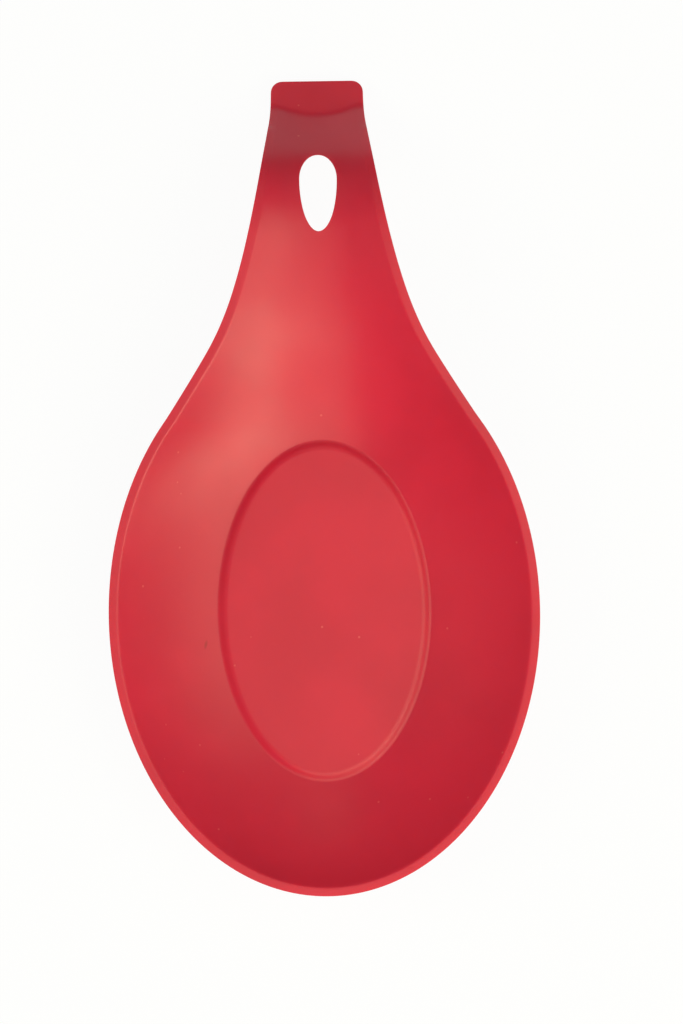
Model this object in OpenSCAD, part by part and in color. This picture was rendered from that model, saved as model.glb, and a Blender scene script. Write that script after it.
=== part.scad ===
// Spoon rest moulded in silicone: a long dish with a raised oval floor, and a handle that
// rises from its neck, bends over and comes down to a flared toe.
// The rest lies flat, its handle along +Y, and its origin is under the middle of its length.

/* [Dish] */
// Length from the front of the rim to the end of the toe
rest_len = 200; // [180:1:220]
// Width of the dish over its rim
bowl_w = 105.4; // [96:0.2:112]
// Length of the ellipse that the dish's rim follows
bowl_len = 138; // [132:1:144]
// Height of the rim round the dish
rim_h = 17; // [14:0.5:20]
// Width of the flat strip along the rim
rim_w = 2.1; // [1.8:0.1:2.6]
// Upright thickness at the rim and along the handle
rim_t = 2.4; // [2:0.1:2.8]
// Radius that softens the outer edges of the rim
rim_round = 0.6; // [0.3:0.1:0.8]
// Thickness of the wall where it leaves the base
wall_t = 2; // [1.6:0.1:2.4]

/* [Oval floor] */
// Width of the oval base, over the channel
oval_w = 52.8; // [46:0.2:58]
// Length of the oval base, over the channel
oval_len = 84.4; // [78:0.2:88]
// Width of the flat channel round the raised floor
channel_w = 0.5; // [0.4:0.1:1.2]
// Width of the curved skirt that lifts the floor
skirt_w = 2.6; // [1.5:0.1:3]
// Height of the floor over the channel, and depth of the hollow under it
floor_rise = 1; // [0.6:0.1:1.4]

/* [Handle] */
// Height of the handle's edges at its highest point
crest_h = 25.5; // [23.5:0.5:28]
// Distance from the highest point to the end of the toe
crest_back = 38; // [35:0.5:42]
// Radius at which the handle bends over
crest_r = 28; // [24:0.5:31]
// Steepest fall of the handle towards the toe, in degrees
drop_angle = 47; // [44:0.5:50]
// How far the middle of the handle lies below a plain trough
handle_dip = 1.4; // [0:0.1:2.2]

/* [Toe] */
// Width of the toe
toe_w = 22.6; // [19:0.2:26]
// Length of the toe from the crease
toe_len = 9; // [8:0.2:10]
// Thickness of the toe at its end
toe_t = 2.3; // [1.6:0.1:2.4]
// Fall of the toe from the crease to its end, in degrees
toe_fall = 20; // [18:1:30]
// Radius of the toe's two corners
toe_corner = 2.7; // [1:0.1:3.5]
// Reach of the fillet in the crease
crease_fillet = 1; // [0.6:0.1:2]

/* [Hanging hole] */
// Width of the hole at its widest
hole_w = 9.2; // [7:0.2:11]
// Length of the hole
hole_len = 19; // [16:0.2:21]
// Distance from the hole to the end of the toe
hole_back = 18.8; // [18:0.2:20]

/* [Hidden] */

// Places along the length
front_y = -rest_len / 2;
tip_y = rest_len / 2;
bowl_y = front_y + bowl_len / 2;
crest_y = tip_y - crest_back;
toe_y = tip_y - toe_len;

// The oval sits a little nearer the handle than the middle of the dish's ellipse
oval_shift = 0.6;
oval_y = bowl_y + oval_shift;

// The neck, where the dish ends and the handle begins, just behind the oval
neck_gap = 4.2;
neck_y = oval_y + oval_len / 2 + neck_gap;

// Half sizes of the oval and of the rim's inner edge
oval_a = oval_w / 2;
oval_b = oval_len / 2;
edge_a = bowl_w / 2 - rim_w;
edge_b = bowl_len / 2 - rim_w;

// The hole is two half ellipses that share their widest line, nearer its toe end
hole_wide_share = 0.32;
hole_end_y = tip_y - hole_back;
hole_mid_y = hole_end_y - hole_len * hole_wide_share;
hole_start_y = hole_end_y - hole_len;

// The handle's edge line: share of the way from dish centre to tip, and share of the way
// from the toe's half width to the dish's
side_shares = [[0.446, 0.471], [0.508, 0.356], [0.569, 0.271], [0.638, 0.2],
    [0.708, 0.143], [0.777, 0.096], [0.846, 0.055], [0.923, 0.012], [0.954, 0.003], [1, 0]];

// How finely the surfaces are cut into faces
rays = 72;
rings = 7;
neck_cols = 8;
skirt_steps = 4;
round_steps = 3;

// Helpers

function mix(a, b, s) = a + (b - a) * s;
function part_way(v, lo, hi) = min(max((v - lo) / (hi - lo), 0), 1);
function ease(s) = s * s * (3 - 2 * s);
function soft_max(a, b, reach) =
    let (near = max(reach - abs(a - b), 0) / reach) max(a, b) + near * near * reach / 4;
function turned(face) = [for (i = [len(face) - 1 : -1 : 0]) face[i]];

// A smooth curve through [place, value] stations
function last_before(stations, v) =
    max([for (i = [0 : len(stations) - 2]) if (i == 0 || stations[i][0] <= v) i]);
function tangent(stations, i) =
    let (lo = stations[max(i - 1, 0)], hi = stations[min(i + 1, len(stations) - 1)])
    (hi[1] - lo[1]) / (hi[0] - lo[0]);
function curve(stations, v) =
    let (
        i = last_before(stations, v),
        from = stations[i],
        to = stations[i + 1],
        run = to[0] - from[0],
        s = (v - from[0]) / run,
        turn_out = tangent(stations, i) * run,
        turn_in = tangent(stations, i + 1) * run
    )
    mix(from[1], to[1], ease(s)) + s * (1 - s) * ((1 - s) * turn_out - s * turn_in);

// The rim's inner edge: an ellipse round the dish, then the handle's side line

function half_chord(a, b, y) = a * sqrt(max(1 - pow((y - bowl_y) / b, 2), 0));
lead_in_share = 0.02;
before_neck_y = mix(neck_y, bowl_y, lead_in_share);
toe_half = toe_w / 2;
side_line = concat(
    [for (y = [before_neck_y, neck_y]) [y, half_chord(edge_a, edge_b, y)]],
    [for (p = side_shares) [mix(bowl_y, tip_y, p[0]), mix(toe_half, bowl_w / 2, p[1]) - rim_w]]
);
function edge_x(y) = y <= neck_y ? half_chord(edge_a, edge_b, y) : curve(side_line, y);

// Heights of the upper surface

function rise_z(y) = mix(rim_h, crest_h, ease(part_way(y, bowl_y, crest_y)));
bend_run = crest_r * sin(drop_angle);
function past_crest(y) = max(y - crest_y, 0);
function drop_z(y) =
    past_crest(y) < bend_run
        ? crest_r - sqrt(crest_r * crest_r - pow(past_crest(y), 2))
        : crest_r * (1 - cos(drop_angle)) + (past_crest(y) - bend_run) * tan(drop_angle);
function drop_slope(y) = tan(asin(min(past_crest(y) / crest_r, sin(drop_angle))));
function edge_z(y) = rise_z(y) - drop_z(y);

// A dish: level at the oval, and up to the rim's height at the rim's inner edge
function oval_square(y) = oval_a * oval_a * (1 - pow((y - oval_y) / oval_b, 2));
function bowl_z(x, y) =
    let (inner = oval_square(y), outer = pow(edge_x(y), 2))
    mix(wall_t, edge_z(y), (x * x - inner) / (outer - inner));
function dip_z(x, y) =
    y <= neck_y ? 0
        : handle_dip * ease(part_way(y, neck_y, crest_y)) * (1 - pow(x / edge_x(y), 2));
function toe_z(y) = toe_t + (tip_y - y) * tan(toe_fall);
function top_z(x, y) =
    let (inside = min(abs(x), edge_x(y)), z = bowl_z(inside, y) - dip_z(inside, y))
    y > crest_y ? soft_max(z, toe_z(y), crease_fillet) : z;
function upright_t(y) = rim_t * sqrt(1 + pow(drop_slope(y), 2));
function under_z(x, y) = max(top_z(x, y) - upright_t(y), 0);

// Stations that neighbouring pieces share, so that they meet face to face

function ellipse_point(middle, a, b, angle) = [a * cos(angle), middle + b * sin(angle)];
neck_angle = asin((neck_y - bowl_y) / edge_b);
bowl_angles = [for (i = [0 : rays]) mix(neck_angle, -180 - neck_angle, i / rays)];
neck_x = [for (k = [-neck_cols + 1 : neck_cols - 1]) edge_x(neck_y) * k / neck_cols];
edge_points = concat(
    [for (angle = bowl_angles) ellipse_point(bowl_y, edge_a, edge_b, angle)],
    [for (x = neck_x) [x, neck_y]]
);
oval_angles = concat(
    bowl_angles,
    [for (x = neck_x) atan2((neck_y - bowl_y) / edge_b, x / edge_a) - 360]
);
function oval_ring(inset) =
    [for (angle = oval_angles) ellipse_point(oval_y, oval_a - inset, oval_b - inset, angle)];

plain_rows = 11;
egg_rows = 6;
end_rows = 6;
handle_rows = concat(
    [for (i = [0 : plain_rows]) mix(neck_y, hole_start_y, i / plain_rows)],
    [for (i = [1 : egg_rows]) mix(hole_mid_y, hole_start_y, cos(90 * i / egg_rows))],
    [for (i = [1 : egg_rows]) mix(hole_mid_y, hole_end_y, sin(90 * i / egg_rows))],
    [for (i = [1 : end_rows]) mix(hole_end_y, toe_y, i / end_rows)]
);
function hole_x(y) =
    y <= hole_start_y || y >= hole_end_y ? 0
        : let (reach = y < hole_mid_y ? hole_mid_y - hole_start_y : hole_end_y - hole_mid_y)
          hole_w / 2 * sqrt(max(1 - pow((y - hole_mid_y) / reach, 2), 0));

// Faces of a band between two stations of a closed section, count points each
function band(from, to, count) = [
    for (k = [0 : count - 1])
        let (next = (k + 1) % count)
        each [[from + k, from + next, to + next], [from + k, to + next, to + k]]
];
function fan(points) = [for (i = [1 : len(points) - 2]) [points[0], points[i], points[i + 1]]];

// The raised floor, a plate with a curved skirt

module floor_panel() {
    count = len(oval_angles);
    skirt = [for (i = [0 : skirt_steps]) i / skirt_steps];
    function lift(s) = floor_rise * (1 - pow(1 - s, 2));
    loops = concat(
        [[channel_w, floor_rise]],
        [for (s = skirt) [channel_w + skirt_w * s, wall_t + lift(s)]]
    );
    ring_points = [for (l = loops) each [for (p = oval_ring(l[0])) [p[0], p[1], l[1]]]];
    last = len(loops) - 1;
    under = len(ring_points);
    faces = concat(
        [for (i = [0 : last - 1]) each band(i * count, (i + 1) * count, count)],
        [for (k = [0 : count - 1])
            each [
                [last * count + k, last * count + (k + 1) % count, under + 1],
                [(k + 1) % count, k, under]
            ]
        ]
    );
    color([0.82, 0.28, 0.3])
        polyhedron(concat(ring_points, [[0, oval_y, floor_rise], [0, oval_y, wall_t + floor_rise]]), faces);
}

// The flat ring that the dish stands on, with a ledge under the floor's skirt

module base_ring() {
    color([0.75, 0.2, 0.24]) {
        linear_extrude(wall_t)
            difference() {
                polygon(oval_ring(0));
                polygon(oval_ring(channel_w));
            }
        linear_extrude(floor_rise)
            difference() {
                polygon(oval_ring(0));
                polygon(oval_ring(channel_w + skirt_w));
            }
    }
}

// The sloping wall, from the base ring to the rim and the neck

module dish_wall() {
    count = 2 * (rings + 1);
    inner = oval_ring(0);
    up = [for (i = [0 : rings]) i / rings];
    sections = [
        for (m = [0 : len(edge_points) - 1])
            let (
                path = [for (s = up) inner[m] + (edge_points[m] - inner[m]) * s],
                tops = [for (p = path) top_z(p[0], p[1])]
            )
            each concat(
                [for (i = [0 : rings]) [path[i][0], path[i][1], i == 0 ? wall_t : tops[i]]],
                [for (i = [rings : -1 : 0])
                    [path[i][0], path[i][1], i == 0 ? 0 : tops[i] - mix(wall_t, rim_t, up[i])]]
            )
    ];
    total = len(sections);
    faces = [for (m = [0 : len(edge_points) - 1]) each band(m * count, (m + 1) * count % total, count)];
    color([0.84, 0.24, 0.27]) polyhedron(sections, faces);
}

// The handle, a shallow trough with the hanging hole through it

module handle() {
    count = 2 * neck_cols + 2;
    left = [for (k = [neck_cols : -1 : 0]) k / neck_cols];
    tops = [
        for (y = handle_rows)
            let (half = [for (s = left) mix(hole_x(y), edge_x(y), s)])
            each concat([for (x = half) [-x, y]], [for (x = turned(half)) [x, y]])
    ];
    under = len(tops);
    points = concat(
        [for (p = tops) [p[0], p[1], top_z(p[0], p[1])]],
        [for (p = tops) [p[0], p[1], under_z(p[0], p[1])]]
    );
    function open(row) = hole_x(handle_rows[row]) > 0;
    function at(row, k) = row * count + (k == neck_cols + 1 && !open(row) ? neck_cols : k);
    function wall(a, b) = [[a, b, b + under], [a, b + under, a + under]];
    last = len(handle_rows) - 1;
    skin = [
        for (row = [0 : last - 1], k = [0 : count - 2])
            if (k != neck_cols)
                each [
                    [at(row, k), at(row + 1, k), at(row + 1, k + 1)],
                    [at(row, k), at(row + 1, k + 1), at(row, k + 1)]
                ]
    ];
    sides = [
        for (row = [0 : last - 1])
            each concat(wall(at(row + 1, 0), at(row, 0)), wall(at(row, count - 1), at(row + 1, count - 1)))
    ];
    ends = [
        for (k = [0 : count - 2])
            if (k != neck_cols)
                each concat(wall(at(0, k), at(0, k + 1)), wall(at(last, k + 1), at(last, k)))
    ];
    hole = [
        for (row = [0 : last - 1])
            if (open(row) || open(row + 1))
                each concat(
                    wall(at(row, neck_cols), at(row + 1, neck_cols)),
                    wall(at(row + 1, neck_cols + 1), at(row, neck_cols + 1))
                )
    ];
    color([0.8, 0.22, 0.26])
        polyhedron(
            points,
            concat(skin, [for (f = skin) [for (p = turned(f)) p + under]], sides, ends, hole)
        );
}

// The strip along the rim, from the toe down one side, round the dish and back up

side_rows = turned(handle_rows);
strip_path = concat(
    [for (y = side_rows) [edge_x(y), y]],
    [for (i = [1 : rays - 1]) edge_points[i]],
    [for (y = handle_rows) [-edge_x(y), y]]
);
function outward(i) =
    let (
        last = len(strip_path) - 1,
        along = strip_path[min(i + 1, last)] - strip_path[max(i - 1, 0)]
    )
    i == 0 ? [1, 0] : i == last ? [-1, 0] : [-along[1], along[0]] / norm(along);

module rim_strip() {
    arc = [for (i = [0 : round_steps]) 90 * i / round_steps];
    count = 2 * (round_steps + 2);
    points = [
        for (i = [0 : len(strip_path) - 1])
            let (
                p = strip_path[i],
                z = top_z(p[0], p[1]),
                low = p[1] > neck_y ? under_z(p[0], p[1]) : z - rim_t,
                out = outward(i),
                in_w = rim_w - rim_round
            )
            each concat(
                [[p[0], p[1], z]],
                [for (t = arc) [
                    each (p + out * (in_w + rim_round * sin(t))),
                    z - rim_round * (1 - cos(t))
                ]],
                [for (t = arc) [
                    each (p + out * (in_w + rim_round * cos(t))),
                    low + rim_round * (1 - sin(t))
                ]],
                [[p[0], p[1], low]]
            )
    ];
    last = len(strip_path) - 1;
    faces = concat(
        [for (i = [0 : last - 1]) each band(i * count, (i + 1) * count, count)],
        fan([for (k = [count - 1 : -1 : 0]) k]),
        fan([for (k = [0 : count - 1]) last * count + k])
    );
    color([0.88, 0.34, 0.35]) polyhedron(points, faces);
}

// The toe, as wide as the handle with its strips, and flat underneath at its end

toe_steps = 4;
corner_steps = 5;
toe_rows = concat(
    [for (i = [0 : toe_steps]) mix(toe_y, tip_y - toe_corner, i / toe_steps)],
    [for (i = [1 : corner_steps]) tip_y - toe_corner + toe_corner * sin(90 * i / corner_steps)]
);
function corner_cut(y) =
    toe_corner - sqrt(max(pow(toe_corner, 2) - pow(max(y - tip_y + toe_corner, 0), 2), 0));

module toe_lip() {
    cols = concat([-neck_cols - 1], [for (k = [-neck_cols : neck_cols]) k], [neck_cols + 1]);
    count = len(cols);
    function across(k, y) =
        let (edge = edge_x(y) - corner_cut(y))
        abs(k) > neck_cols ? sign(k) * (edge + rim_w) : edge * k / neck_cols;
    tops = [for (y = toe_rows, k = cols) [across(k, y), y]];
    under = len(tops);
    points = concat(
        [for (p = tops) [p[0], p[1], top_z(p[0], p[1])]],
        [for (p = tops) [p[0], p[1], under_z(p[0], p[1])]]
    );
    last = len(toe_rows) - 1;
    skin = [
        for (row = [0 : last - 1], k = [0 : count - 2])
            let (a = row * count + k, b = a + count)
            each [[a, b, b + 1], [a, b + 1, a + 1]]
    ];
    outline = concat(
        [for (k = [0 : count - 2]) [k + 1, k]],
        [for (row = [0 : last - 1]) [(row + 2) * count - 1, (row + 1) * count - 1]],
        [for (k = [0 : count - 2]) [last * count + k, last * count + k + 1]],
        [for (row = [0 : last - 1]) [row * count, (row + 1) * count]]
    );
    color([0.68, 0.18, 0.22])
        polyhedron(
            points,
            concat(
                skin,
                [for (f = skin) [for (p = turned(f)) p + under]],
                [for (e = outline) each [[e[0], e[0] + under, e[1] + under], [e[0], e[1] + under, e[1]]]]
            )
        );
}

floor_panel();
base_ring();
dish_wall();
handle();
rim_strip();
toe_lip();
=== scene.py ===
# Spoon rest in red silicone, lying on a pale table and seen from straight above
import math

import bpy
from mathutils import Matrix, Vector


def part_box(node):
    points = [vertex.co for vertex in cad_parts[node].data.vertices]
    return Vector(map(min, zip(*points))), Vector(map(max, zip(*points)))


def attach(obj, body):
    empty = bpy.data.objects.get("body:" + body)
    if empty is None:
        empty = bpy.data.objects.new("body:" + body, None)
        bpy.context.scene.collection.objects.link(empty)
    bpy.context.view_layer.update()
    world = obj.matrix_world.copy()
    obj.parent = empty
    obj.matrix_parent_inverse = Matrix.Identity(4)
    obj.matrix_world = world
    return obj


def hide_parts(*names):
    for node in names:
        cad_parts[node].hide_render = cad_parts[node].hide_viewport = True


print("loading the frame")
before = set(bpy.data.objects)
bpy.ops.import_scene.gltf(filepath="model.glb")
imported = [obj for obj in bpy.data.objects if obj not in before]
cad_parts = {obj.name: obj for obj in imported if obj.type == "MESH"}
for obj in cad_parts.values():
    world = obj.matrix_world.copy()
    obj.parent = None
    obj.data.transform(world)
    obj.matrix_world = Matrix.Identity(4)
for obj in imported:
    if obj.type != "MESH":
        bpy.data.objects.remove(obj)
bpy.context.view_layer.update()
print("solids in the frame:", len(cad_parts))

mm = 0.001


def mix(a, b, share):
    return a + (b - a) * share


def ease(share):
    return share * share * (3 - 2 * share)


def partWay(value, low, high):
    return min(max((value - low) / (high - low), 0), 1)


def softMax(a, b, reach):  # the larger, with the corner between the two rounded
    near = max(reach - abs(a - b), 0) / reach
    return max(a, b) + near * near * reach / 4


def softMin(a, b, reach):
    return -softMax(-a, -b, reach)


def curveAt(stations, value):  # smooth curve through (place, value) stations
    last = len(stations) - 1
    i = max(k for k in range(last) if k == 0 or stations[k][0] <= value)

    def tangent(k):
        low, high = stations[max(k - 1, 0)], stations[min(k + 1, last)]
        return (high[1] - low[1]) / (high[0] - low[0])

    start, stop = stations[i], stations[i + 1]
    run = stop[0] - start[0]
    s = (value - start[0]) / run
    turnOut, turnIn = tangent(i) * run, tangent(i + 1) * run
    return mix(start[1], stop[1], ease(s)) + s * (1 - s) * ((1 - s) * turnOut - s * turnIn)


# The moulding's form, with what the frame doesn't say

mouldingSet = {
    "rimHeight": 17 * mm,
    "bowlLength": 138 * mm,
    "stripWidth": 2.1 * mm,
    "skirtWidth": 2.6 * mm,
    "skirtFoot": 0.4 * mm,  # from the wall's foot in to where the skirt's slope begins and ends
    "skirtTop": 2 * mm,
    "footReach": 0.25 * mm,  # how softly the skirt turns at its foot and at its top
    "topReach": 0.44 * mm,
    "handleDip": 1.4 * mm,  # depth of the trough at the crest
    "crestBack": 38 * mm,  # from the tip
    "crestRadius": 28 * mm,
    "dropAngle": math.radians(47),
    "toeHalf": 11.3 * mm,
    "toeThickness": 2.3 * mm,
    "toeFall": math.radians(20),
    "toeCorner": 2.7 * mm,
    "creaseReach": 0.6 * mm,  # how softly the handle turns into the toe, and the strip into the wall
    "stripReach": 0.3 * mm,
    "wall": 2.2 * mm,
    "edgeRound": 0.5 * mm,
    "edgeSegments": 3,
    "sharpAngle": math.radians(60),
    "mergeDistance": 0.02 * mm,
    "slopeStep": 0.1 * mm,  # steps over which a slope and a direction are measured
    "normalStep": 0.5 * mm,
    "neckLead": 0.02,  # where the side line starts, on the way back to the bowl's middle
    # Share of the way from the bowl's middle to the tip, and of the half width past the toe's
    "sideShares": [
        (0.446, 0.471), (0.508, 0.356), (0.569, 0.271), (0.638, 0.2), (0.708, 0.143),
        (0.777, 0.096), (0.846, 0.055), (0.923, 0.012), (0.954, 0.003), (1, 0),
    ],
}
holeSet = {
    "width": 9.2 * mm,
    "length": 19 * mm,
    "back": 18.8 * mm,  # from the tip to the hole's blunt end
    "wideShare": 0.32,  # share of the length from that end to the widest place
    "blockStart": 59.5 * mm,  # the square block of cells that the hole is cut from
    "blockEnd": 85 * mm,
    "blockCells": 12,
    "rings": 5,
    "ringStep": 0.15,  # of a cell
    "cellTolerance": 0.001,
    "uprightEnd": 1.5,  # times the hole's size, where the wall is no longer pulled upright
}

ringLow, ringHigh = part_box("base_ring")
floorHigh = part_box("floor_panel")[1]
stripLow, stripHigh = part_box("rim_strip")
handleLow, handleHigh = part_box("handle")
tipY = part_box("toe_lip")[1].y
neckY = handleLow.y
bowlY = stripLow.y + mouldingSet["bowlLength"] / 2
ovalY = (ringLow.y + ringHigh.y) / 2
ovalA, ovalB = ringHigh.x, (ringHigh.y - ringLow.y) / 2
edgeA = stripHigh.x - mouldingSet["stripWidth"]
edgeB = bowlY - stripLow.y - mouldingSet["stripWidth"]
channelWidth = ringHigh.x - floorHigh.x
baseTop, floorTop = ringHigh.z, floorHigh.z
crestHeight = handleHigh.z
crestY = tipY - mouldingSet["crestBack"]


def edgeX(y):  # half width at the strip's inner edge
    if y <= neckY:
        return edgeA * math.sqrt(max(1 - ((y - bowlY) / edgeB) ** 2, 0))
    return curveAt(sideLine, y)


beforeNeck = mix(neckY, bowlY, mouldingSet["neckLead"])
sideLine = [(y, edgeX(y)) for y in (beforeNeck, neckY)]
for along, out in mouldingSet["sideShares"]:
    halfWidth = mix(mouldingSet["toeHalf"], stripHigh.x, out)
    sideLine.append((mix(bowlY, tipY, along), halfWidth - mouldingSet["stripWidth"]))


def edgeZ(y):  # height of the rim and of the handle's edges
    rise = mix(mouldingSet["rimHeight"], crestHeight, ease(partWay(y, bowlY, crestY)))
    past, radius, angle = max(y - crestY, 0), mouldingSet["crestRadius"], mouldingSet["dropAngle"]
    bendRun = radius * math.sin(angle)
    if past < bendRun:
        return rise - radius + math.sqrt(radius * radius - past * past)
    return rise - radius * (1 - math.cos(angle)) - (past - bendRun) * math.tan(angle)


def slopeY(y):  # slope of those edges along Y
    step = mouldingSet["slopeStep"]
    return (edgeZ(y + step) - edgeZ(y - step)) / (2 * step)


def bowlZ(x, y):  # level at the oval, and up to the rim
    inner = ovalA ** 2 * (1 - ((y - ovalY) / ovalB) ** 2)
    outer = edgeA ** 2 * (1 - ((y - bowlY) / edgeB) ** 2) if y <= neckY else edgeX(y) ** 2
    return mix(baseTop, edgeZ(y), (x * x - inner) / (outer - inner))


def toeZ(y):  # height of the toe's upper side
    return mouldingSet["toeThickness"] + (tipY - y) * math.tan(mouldingSet["toeFall"])


def skinZ(x, y):  # height of the upper side inside the strip
    z = bowlZ(x, y)
    if y > neckY:
        z -= mouldingSet["handleDip"] * ease(partWay(y, neckY, crestY)) * (1 - (x / edgeX(y)) ** 2)
    z = softMin(z, edgeZ(y), mouldingSet["stripReach"])
    return softMax(z, toeZ(y), mouldingSet["creaseReach"]) if y > crestY else z


def stripZ(x, y, out):  # height at a distance out from the edge point at x, y
    step = mouldingSet["slopeStep"]
    innerX = x * (1 - step / max(abs(x), abs(y - bowlY)))
    innerY = mix(y, bowlY, step / edgeB)
    slope = (bowlZ(x, y) - bowlZ(innerX, innerY)) / step
    z = softMin(edgeZ(y) + abs(slope) * out, edgeZ(y), mouldingSet["stripReach"])
    return softMax(z, toeZ(y), mouldingSet["creaseReach"]) if y > crestY else z


def addGrid(name, columns, rows):  # one face per unit, its corner at the origin
    bpy.ops.object.select_all(action="DESELECT")
    bpy.ops.mesh.primitive_grid_add(x_subdivisions=columns, y_subdivisions=rows, size=1)
    grid = bpy.context.object
    grid.name = name
    for v in grid.data.vertices:
        v.co = ((v.co.x + 0.5) * columns, (v.co.y + 0.5) * rows, 0)
    return grid


def selectFaces(piece, test):  # those whose middle passes the test, with the piece in edit mode
    bpy.ops.mesh.select_mode(type="FACE")
    bpy.ops.mesh.select_all(action="DESELECT")
    bpy.ops.object.mode_set(mode="OBJECT")
    for face in piece.data.polygons:
        face.select = test(face.center)
    bpy.ops.object.mode_set(mode="EDIT")


print("modelling the dish")

# Stations from the floor's middle out to the strip: what they count from, and shares of the way
dishSet = {
    "rays": 120,
    "floorShares": [0, 0.35, 0.7, 0.9],
    "skirtShares": [0, 0.1, 0.16, 0.23, 0.29, 0.35, 0.42, 0.48, 0.54,
                    0.6, 0.66, 0.72, 0.77, 0.82, 0.87, 0.92, 0.96],
    "wallShares": [0, 0.006, 0.02, 0.05, 0.1, 0.17, 0.25, 0.33, 0.41,
                   0.5, 0.58, 0.66, 0.74, 0.82, 0.89, 0.94, 0.97, 0.99],
    "stripShares": [0, 0.08, 0.2, 0.55, 1],
}
# Where the columns cross the neck, as shares of its half width
neckColumns = [-1, -0.985, -0.96, -0.92, -0.84, -0.72, -0.6, -0.48, -0.36, -0.24, -0.12, 0]
neckColumns += [-u for u in reversed(neckColumns[:-1])]
columnCount = len(neckColumns) - 1


def ellipsePoint(middle, a, b, angle):
    return a * math.cos(angle), middle + b * math.sin(angle)


def outward(x, y):  # unit normal of the strip's inner edge, out from the rest
    if y <= neckY + mouldingSet["mergeDistance"]:
        across, along = x / edgeA ** 2, (y - bowlY) / edgeB ** 2
    else:
        step = mouldingSet["normalStep"]
        across, along = math.copysign(1, x), (edgeX(y - step) - edgeX(y + step)) / (2 * step)
    length = math.hypot(across, along)
    return across / length, along / length


def stripPoint(x, y, share):  # a share of the way across the strip
    out = mouldingSet["stripWidth"] * share
    across, along = outward(x, y)
    return x + across * out, y + along * out, stripZ(x, y, out)


def skirtZ(back):  # height at a distance in from the wall's foot
    along = (back - mouldingSet["skirtFoot"]) / (mouldingSet["skirtTop"] - mouldingSet["skirtFoot"])
    foot = softMax(mix(baseTop, floorTop, along), baseTop, mouldingSet["footReach"])
    return softMin(foot, floorTop, mouldingSet["topReach"])


def dishPoint(angle, edge, station):  # a station's point on the ray to an edge point
    kind, share = station
    islandBack = channelWidth + mouldingSet["skirtWidth"]  # from the wall's foot in to the level floor
    if kind == "floor":
        islandA, islandB = ovalA - islandBack, ovalB - islandBack
        return *ellipsePoint(ovalY, islandA * share, islandB * share, angle), floorTop
    if kind == "skirt":
        back = islandBack * (1 - share)
        return *ellipsePoint(ovalY, ovalA - back, ovalB - back, angle), skirtZ(back)
    if kind == "wall":
        start = ellipsePoint(ovalY, ovalA, ovalB, angle)
        x, y = mix(start[0], edge[0], share), mix(start[1], edge[1], share)
        return x, y, max(skinZ(x, y), baseTop)
    tolerance = mouldingSet["mergeDistance"]
    if edge[1] > neckY - tolerance and abs(edge[0]) < edgeX(neckY) - tolerance:  # no strip here
        return *edge, skinZ(*edge)
    return stripPoint(*edge, share)


# Rays round the edge from one side of the neck to the other, and then across the neck
neckAngle = math.asin((neckY - bowlY) / edgeB)
rays = []
for i in range(dishSet["rays"] + 1):
    angle = mix(neckAngle, -math.pi - neckAngle, i / dishSet["rays"])
    rays.append((angle, ellipsePoint(bowlY, edgeA, edgeB, angle)))
for u in neckColumns[1:-1]:
    x = edgeX(neckY) * u
    rays.append((math.atan2((neckY - bowlY) / edgeB, x / edgeA), (x, neckY)))
stations = []
for kind in ("floor", "skirt", "wall", "strip"):
    stations += [(kind, share) for share in dishSet[kind + "Shares"]]

dish = addGrid("dishSkin", len(rays), len(stations) - 1)
stripStart = len(stations) - len(dishSet["stripShares"])
bpy.ops.object.mode_set(mode="EDIT")  # the strip doesn't run across the neck
selectFaces(dish, lambda centre: centre.x > dishSet["rays"] and centre.y > stripStart)
bpy.ops.mesh.delete(type="ONLY_FACE")
bpy.ops.object.mode_set(mode="OBJECT")
for v in dish.data.vertices:
    angle, edge = rays[round(v.co.x) % len(rays)]
    v.co = dishPoint(angle, edge, stations[round(v.co.y)])

print("modelling the handle")

# Rows of cells from the neck to the tip, and where the stretches of rows end
handleSet = {
    "rampRows": 22,
    "dropEnd": 88 * mm,
    "dropRows": 3,
    "creaseEnd": 95.5 * mm,
    "creaseRows": 12,
    "toeRows": 3,
    "cornerRows": 6,
}
cornerStart = tipY - mouldingSet["toeCorner"]
rows = []
for count, start, stop in (
    (handleSet["rampRows"], neckY, holeSet["blockStart"]),
    (holeSet["blockCells"], holeSet["blockStart"], holeSet["blockEnd"]),
    (handleSet["dropRows"], holeSet["blockEnd"], handleSet["dropEnd"]),
    (handleSet["creaseRows"], handleSet["dropEnd"], handleSet["creaseEnd"]),
    (handleSet["toeRows"], handleSet["creaseEnd"], cornerStart),
):
    rows += [mix(start, stop, i / count) for i in range(count)]
turns = [math.pi / 2 * i / handleSet["cornerRows"] for i in range(handleSet["cornerRows"] + 1)]
rows += [cornerStart + mouldingSet["toeCorner"] * math.sin(turn) for turn in turns]
sideColumns = len(dishSet["stripShares"]) - 1


def between(values, place):  # a value at a place that may fall between two entries
    low = min(int(place), len(values) - 2)
    return mix(values[low], values[low + 1], place - low)


def handlePlace(column, row):  # x and y, and then the uncut x, or the strip's height
    y = between(rows, row)
    past = max(y - cornerStart, 0)
    cut = mouldingSet["toeCorner"] - math.sqrt(max(mouldingSet["toeCorner"] ** 2 - past ** 2, 0))
    inner = column - sideColumns
    if 0 <= inner <= columnCount:
        x = edgeX(y) * between(neckColumns, inner)
        return x * (1 - cut / edgeX(y)), y, x
    share = between(dishSet["stripShares"], -inner if inner < 0 else inner - columnCount)
    side = -1 if inner < 0 else 1
    x, outY, z = stripPoint(side * edgeX(y), y, share)
    if y > handleSet["dropEnd"]:
        x, outY = side * (edgeX(y) + mouldingSet["stripWidth"] * share), y
    return x - side * cut, outY, z


def handlePoint(column, row):
    x, y, source = handlePlace(column, row)
    onStrip = not 0 <= column - sideColumns <= columnCount
    return x, y, source if onStrip else skinZ(source, y)


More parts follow.
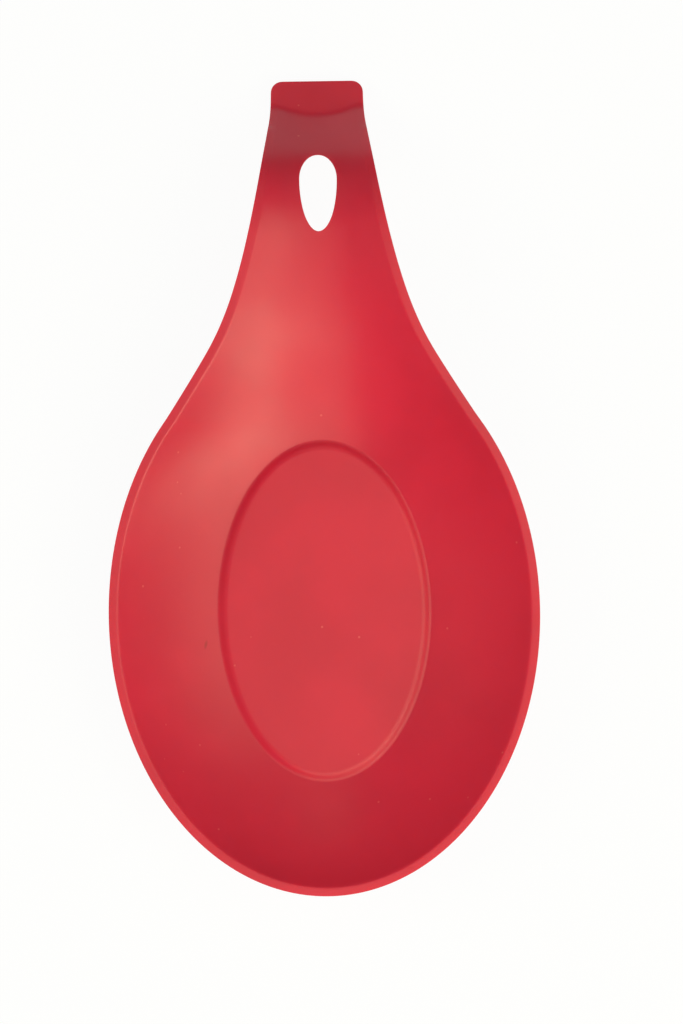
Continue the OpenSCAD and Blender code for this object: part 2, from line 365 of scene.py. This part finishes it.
holeEnd = tipY - holeSet["back"]
holeMid = holeEnd - holeSet["length"] * holeSet["wideShare"]
holeStart = holeEnd - holeSet["length"]
blockColumn = sideColumns + (columnCount - holeSet["blockCells"]) // 2
blockRow = handleSet["rampRows"]
half = holeSet["blockCells"] / 2


def holePoint(across, along):  # a point of the egg in the direction of a point on the unit square
    angle = math.atan2(along, across)
    reach = holeEnd - holeMid if along > 0 else holeMid - holeStart
    return holeSet["width"] / 2 * math.cos(angle), holeMid + reach * math.sin(angle)


handle = addGrid("handleSkin", columnCount + 2 * sideColumns, len(rows) - 1)
bpy.ops.object.mode_set(mode="EDIT")
selectFaces(handle, lambda centre: blockColumn < centre.x < blockColumn + holeSet["blockCells"]
            and blockRow < centre.y < blockRow + holeSet["blockCells"])
for i in range(holeSet["rings"]):
    bpy.ops.mesh.inset(thickness=holeSet["ringStep"], use_boundary=True)
bpy.ops.mesh.delete(type="FACE")
bpy.ops.object.mode_set(mode="OBJECT")
for v in handle.data.vertices:
    across, along = v.co.x - blockColumn - half, v.co.y - blockRow - half
    square = max(abs(across), abs(along))
    if square > half - holeSet["cellTolerance"]:
        v.co = handlePoint(v.co.x, v.co.y)
        continue
    share = (half - square) / (holeSet["rings"] * holeSet["ringStep"])
    across, along = across / square, along / square
    outer = handlePlace(blockColumn + half + across * half, blockRow + half + along * half)
    inner = holePoint(across, along)
    x, y = mix(outer[0], inner[0], share), mix(outer[1], inner[1], share)
    v.co = x, y, skinZ(x, y)

print("joining and thickening the moulding")
bpy.ops.object.select_all(action="DESELECT")
dish.select_set(True)
handle.select_set(True)
bpy.context.view_layer.objects.active = dish
bpy.ops.object.join()
moulding = dish
moulding.name = moulding.data.name = "siliconeMoulding"
bpy.ops.object.mode_set(mode="EDIT")
bpy.ops.mesh.select_mode(type="VERT")
bpy.ops.mesh.select_all(action="SELECT")
bpy.ops.mesh.remove_doubles(threshold=mouldingSet["mergeDistance"])
bpy.ops.mesh.normals_make_consistent(inside=False)
bpy.ops.object.mode_set(mode="OBJECT")
if sum(p.normal.z for p in moulding.data.polygons) < 0:
    bpy.ops.object.mode_set(mode="EDIT")
    bpy.ops.mesh.flip_normals()
    bpy.ops.object.mode_set(mode="OBJECT")


def finishModifier(piece, kind, values):
    modifier = piece.modifiers.new(kind, kind)
    for key, value in values.items():
        setattr(modifier, key, value)
    bpy.ops.object.modifier_apply(modifier=modifier.name)


topCount = len(moulding.data.vertices)
finishModifier(moulding, "SOLIDIFY", {
    "thickness": mouldingSet["wall"], "offset": -1, "use_even_offset": True})
vertices = moulding.data.vertices
for i in range(topCount):
    top, under = vertices[i], vertices[i + topCount]
    reach = holeEnd - holeMid if top.co.y > holeMid else holeMid - holeStart
    ratio = math.hypot(top.co.x / (holeSet["width"] / 2), (top.co.y - holeMid) / reach)
    upright = 1 - partWay(ratio, 1, holeSet["uprightEnd"])  # the hole's wall stands upright
    drop = mouldingSet["wall"] * math.hypot(1, slopeY(top.co.y))
    under.co.x = mix(under.co.x, top.co.x, upright)
    under.co.y = mix(under.co.y, top.co.y, upright)
    under.co.z = mix(under.co.z, top.co.z - drop, upright)
for v in vertices:
    v.co.z = max(v.co.z, 0)  # the base ring and the toe are flat underneath
finishModifier(moulding, "BEVEL", {
    "width": mouldingSet["edgeRound"], "segments": mouldingSet["edgeSegments"],
    "limit_method": "ANGLE", "angle_limit": mouldingSet["sharpAngle"]})
finishModifier(moulding, "SUBSURF", {"levels": 1, "render_levels": 1})
for v in moulding.data.vertices:  # and stay so when they are smoothed
    v.co.z = max(v.co.z, 0)
bpy.ops.object.shade_smooth()

print("mixing the silicone")

siliconeSet = {
    "red": (0.64, 0.0208, 0.063, 1),
    "deepRed": (0.58, 0.0188, 0.057, 1),
    "specular": 0.62,
    "cloudScale": 34,
    "cloudDetail": 3,
    "cloudRange": (0.35, 0.65),  # of the noise, from the deeper red to the other
    "roughness": (0.35, 0.4),
    "filmScale": 110,
    "filmDetail": 4,
    "filmRange": (0.3, 0.7),  # of the noise, from shiny to dull
    "glow": 0.35,
    "glowReach": 4 * mm,
    "glowRadius": (1, 0.15, 0.1),
    "waveScale": 70,
    "waveDetail": 1,
    "waveDepth": 0.03 * mm,
    "grainScale": 1500,
    "grainDetail": 2,
    "grainDepth": 0.006 * mm,
}
dustSet = {
    "colour": (0.78, 0.2, 0.2, 1),
    "scale": 230,
    "radius": 0.03,  # of a cell's size
    "fade": 3,  # times the radius, where a speck ends
    "kept": 0.8,  # cells whose random value lies above this have a speck
    "strength": 0.5,
}
scuffSet = {
    "colour": (0.3, 0.012, 0.02, 1),
    "place": (-29.3 * mm, -38.3 * mm, 6 * mm),
    "turn": math.radians(-12),
    "size": (0.45 * mm, 1.3 * mm, 6 * mm),
    "fade": (0.4, 1.2),  # share of the size where it starts to fade, and where it ends
    "strength": 0.6,
}
silicone = bpy.data.materials.new("redSilicone")
silicone.use_nodes = True
tree = silicone.node_tree
shader = tree.nodes["Principled BSDF"]
coordinates = tree.nodes.new("ShaderNodeTexCoord").outputs["Object"]


def addNode(tree, kind, inputs, **settings):  # inputs are sockets to link, or plain values
    node = tree.nodes.new("ShaderNode" + kind)
    for key, value in settings.items():
        setattr(node, key, value)
    for key, value in inputs.items():
        if isinstance(value, bpy.types.NodeSocket):
            tree.links.new(value, node.inputs[key])
        else:
            node.inputs[key].default_value = value
    return node


def noise(scale, detail):
    inputs = {"Vector": coordinates, "Scale": scale, "Detail": detail}
    return addNode(tree, "TexNoise", inputs).outputs["Fac"]


def spread(value, low, high, start, stop):  # carries the range low to high over to start to stop
    inputs = {"Value": value, "From Min": low, "From Max": high, "To Min": start, "To Max": stop}
    return addNode(tree, "MapRange", inputs, interpolation_type="SMOOTHSTEP").outputs["Result"]


def blendColours(share, under, over):
    inputs = {"Factor": share, "A": under, "B": over}
    return addNode(tree, "Mix", inputs, data_type="RGBA").outputs["Result"]


def product(a, b):
    return addNode(tree, "Math", {0: a, 1: b}, operation="MULTIPLY").outputs[0]


# Soft clouds in the pigment, tiny specks of dust and one scuff in the dish
clouds = noise(siliconeSet["cloudScale"], siliconeSet["cloudDetail"])
clouds = spread(clouds, *siliconeSet["cloudRange"], 0, 1)
colour = blendColours(clouds, siliconeSet["deepRed"], siliconeSet["red"])
cells = addNode(tree, "TexVoronoi", {"Vector": coordinates, "Scale": dustSet["scale"]})
dot = spread(cells.outputs["Distance"], dustSet["radius"], dustSet["radius"] * dustSet["fade"], 1, 0)
cellValue = addNode(tree, "SeparateColor", {"Color": cells.outputs["Color"]}).outputs["Red"]
kept = addNode(tree, "Math", {0: cellValue, 1: dustSet["kept"]}, operation="GREATER_THAN").outputs[0]
colour = blendColours(product(product(dot, kept), dustSet["strength"]), colour, dustSet["colour"])
markPlace = {"Vector": coordinates, "Location": scuffSet["place"],
             "Rotation": (0, 0, scuffSet["turn"]), "Scale": scuffSet["size"]}
mark = addNode(tree, "Mapping", markPlace, vector_type="TEXTURE").outputs["Vector"]
markSize = addNode(tree, "VectorMath", {0: mark}, operation="LENGTH").outputs["Value"]
scuff = product(spread(markSize, *scuffSet["fade"], 1, 0), scuffSet["strength"])
tree.links.new(blendColours(scuff, colour, scuffSet["colour"]), shader.inputs["Base Color"])

# A film that varies the shine, soft waves in the surface and a fine grain on them
film = spread(noise(siliconeSet["filmScale"], siliconeSet["filmDetail"]),
              *siliconeSet["filmRange"], *siliconeSet["roughness"])
tree.links.new(film, shader.inputs["Roughness"])
waveHeight = noise(siliconeSet["waveScale"], siliconeSet["waveDetail"])
waves = addNode(tree, "Bump", {"Height": waveHeight, "Distance": siliconeSet["waveDepth"]})
grainHeight = noise(siliconeSet["grainScale"], siliconeSet["grainDetail"])
grain = addNode(tree, "Bump", {
    "Height": grainHeight, "Distance": siliconeSet["grainDepth"], "Normal": waves.outputs["Normal"]})
tree.links.new(grain.outputs["Normal"], shader.inputs["Normal"])
shader.inputs["Specular IOR Level"].default_value = siliconeSet["specular"]
shader.inputs["Subsurface Weight"].default_value = siliconeSet["glow"]
shader.inputs["Subsurface Radius"].default_value = siliconeSet["glowRadius"]
shader.inputs["Subsurface Scale"].default_value = siliconeSet["glowReach"]
moulding.data.materials.clear()
moulding.data.materials.append(silicone)

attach(moulding, "root")
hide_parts("floor_panel", "base_ring", "dish_wall", "handle", "rim_strip", "toe_lip")

print("setting the table, the light and the camera")

# The paper is lifted to white for the camera and for reflections, and keeps a faint shadow
tableSet = {"size": 3, "drop": 0.05 * mm, "white": (0.8, 0.8, 0.8, 1), "roughness": 0.9, "lift": 0.95}
pureWhite = (1, 1, 1, 1)
bpy.ops.object.select_all(action="DESELECT")
bpy.ops.mesh.primitive_plane_add(size=tableSet["size"], location=(0, 0, -tableSet["drop"]))
table = bpy.context.object
table.name = "tableTop"
paper = bpy.data.materials.new("whitePaper")
paper.use_nodes = True
paperShader = paper.node_tree.nodes["Principled BSDF"]
paperShader.inputs["Base Color"].default_value = tableSet["white"]
paperShader.inputs["Roughness"].default_value = tableSet["roughness"]
table.data.materials.append(paper)
paperTree = paper.node_tree
whiteLight = addNode(paperTree, "Emission", {"Color": pureWhite})
ray = addNode(paperTree, "LightPath", {}).outputs
seen = addNode(paperTree, "Math", {0: ray["Is Camera Ray"], 1: ray["Is Glossy Ray"]},
               operation="MAXIMUM")
lifted = addNode(paperTree, "Math", {0: seen.outputs[0], 1: tableSet["lift"]}, operation="MULTIPLY")
blend = addNode(paperTree, "MixShader", {
    0: lifted.outputs[0], 1: paperShader.outputs[0], 2: whiteLight.outputs[0]})
paperTree.links.new(blend.outputs[0], paperTree.nodes["Material Output"].inputs["Surface"])

# Soft boxes on a sphere round the rest: azimuth from +X, tilt from straight above
lightSet = {
    "key": {"azimuth": -45, "tilt": 65, "size": 0.8, "power": 6.15, "gloss": True},
    "upper": {"azimuth": -45, "tilt": 14, "size": 1, "power": 2.35, "gloss": True},
    "lowerRight": {"azimuth": -45, "tilt": 45, "size": 0.6, "power": 0.44, "gloss": True},
    "front": {"azimuth": -90, "tilt": 50, "size": 0.8, "power": 2.65, "gloss": True},
    "right": {"azimuth": 0, "tilt": 40, "size": 0.7, "power": 2.07, "gloss": True},
    "back": {"azimuth": 90, "tilt": 40, "size": 0.6, "power": 0.47, "gloss": True},
    "rightFill": {"azimuth": -45, "tilt": 45, "size": 0.6, "power": 3.74, "gloss": False},
    "leftFill": {"azimuth": 180, "tilt": 50, "size": 0.7, "power": 6.33, "gloss": False},
}
lampColour = (1, 1, 0.68)
lampDistance = 1.2
skyStrength = 0.1
for name, values in lightSet.items():
    azimuth, tilt = math.radians(values["azimuth"]), math.radians(values["tilt"])
    aside = lampDistance * math.sin(tilt)
    place = (aside * math.cos(azimuth), aside * math.sin(azimuth), lampDistance * math.cos(tilt))
    bpy.ops.object.light_add(type="AREA", location=place)
    lamp = bpy.context.object
    lamp.name = name + "Lamp"
    lamp.data.size = values["size"]
    lamp.data.energy = values["power"]
    lamp.data.color = lampColour
    lamp.rotation_euler = (-lamp.location).to_track_quat("-Z", "Y").to_euler()
    lamp.visible_camera = False
    lamp.visible_glossy = values["gloss"]  # a fill light leaves no highlight

world = bpy.data.worlds.new("whiteRoom")
bpy.context.scene.world = world
world.use_nodes = True
skyTree = world.node_tree
sky = skyTree.nodes["Background"]
sky.inputs["Color"].default_value = pureWhite
sky.inputs["Strength"].default_value = skyStrength
backdrop = addNode(skyTree, "Background", {"Color": pureWhite})  # what the camera sees past the table
skyRay = addNode(skyTree, "LightPath", {}).outputs["Is Camera Ray"]
skyBlend = addNode(skyTree, "MixShader", {0: skyRay, 1: sky.outputs[0], 2: backdrop.outputs[0]})
skyTree.links.new(skyBlend.outputs[0], skyTree.nodes["World Output"].inputs["Surface"])

cameraSet = {
    "millimetresPerPixel": 0.2442,  # at the rim's height
    "frame": (683, 1024),  # pixels
    "objectCentre": (322.9, 486.7),  # pixel that the rest's origin falls on
    "lens": 250,
    "sensor": 36,
    "roll": math.radians(-0.85),
}
width, height = cameraSet["frame"]
scale = cameraSet["millimetresPerPixel"] * mm
distance = height * scale * cameraSet["lens"] / cameraSet["sensor"]
offsetX = (width / 2 - cameraSet["objectCentre"][0]) * scale
offsetY = (cameraSet["objectCentre"][1] - height / 2) * scale
place = (offsetX, offsetY, distance + mouldingSet["rimHeight"])
bpy.ops.object.camera_add(location=place, rotation=(0, 0, cameraSet["roll"]))
camera = bpy.context.object
camera.data.lens = cameraSet["lens"]
camera.data.sensor_width = cameraSet["sensor"]
bpy.context.scene.camera = camera
bpy.context.scene.view_settings.view_transform = "Standard"

print("finished")
